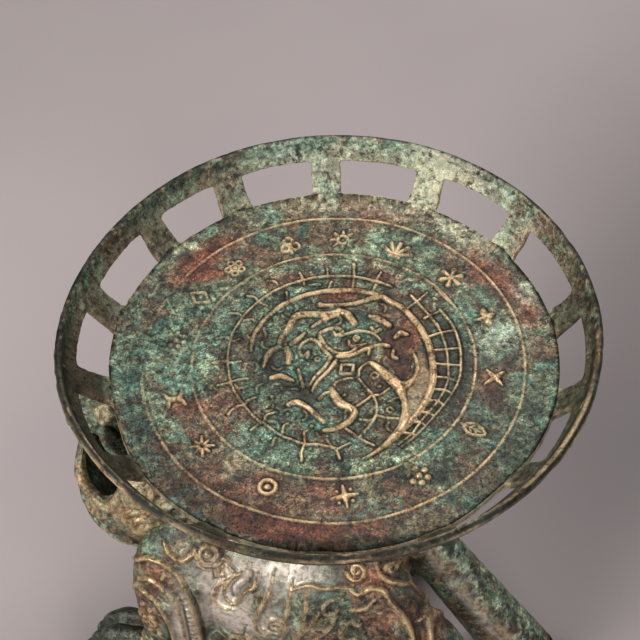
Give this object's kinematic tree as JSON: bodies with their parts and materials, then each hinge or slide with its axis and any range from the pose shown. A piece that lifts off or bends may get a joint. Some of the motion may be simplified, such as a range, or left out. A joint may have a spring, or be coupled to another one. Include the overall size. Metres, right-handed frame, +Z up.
{
  "type": "fruit tray",
  "caption": "Round cast bronze fruit tray with an openwork rim and a low relief floor, turning on a column on the back of a standing beast.",
  "frame": {"origin": "on the ground under the axis that the tray turns on, which is the middle of the object's box", "axes": "+Z up along the tray's axis, +X from the beast's head to its tail, -Y the beast's left side, which the picture shows"},
  "size_m": [0.292, 0.259, 0.266],
  "materials": {
    "tray_bronze": "cast bronze with a mottled green, teal and red-brown patina, raised lines worn to tan",
    "beast_bronze": "cast bronze, worn to a pinkish brown shine on the high parts, green patina in the hollows",
    "stand_bronze": "turned and cast bronze with a dark green-brown patina",
    "plain_bronze": "plain turned bronze, lightly tarnished"
  },
  "bodies": {
    "stand": {"column": "stand_bronze", "tie_bolt": "plain_bronze", "tie_washer": "plain_bronze", "tie_nut": "plain_bronze", "body_shell": "beast_bronze", "head": "beast_bronze", "ear_left": "beast_bronze", "ear_right": "beast_bronze", "leg_front_left": "beast_bronze", "leg_front_right": "beast_bronze", "leg_hind_left": "beast_bronze", "leg_hind_right": "beast_bronze", "tail_bar": "beast_bronze"},
    "tray": {"tray_dish": "tray_bronze", "tray_socket": "stand_bronze"}
  },
  "joints": [
    {"name": "tray_turn", "type": "hinge", "parent": "stand", "child": "tray", "pos_m": [0, 0, 0.218], "axis": [0, 0, 1], "continuous": true}
  ]
}
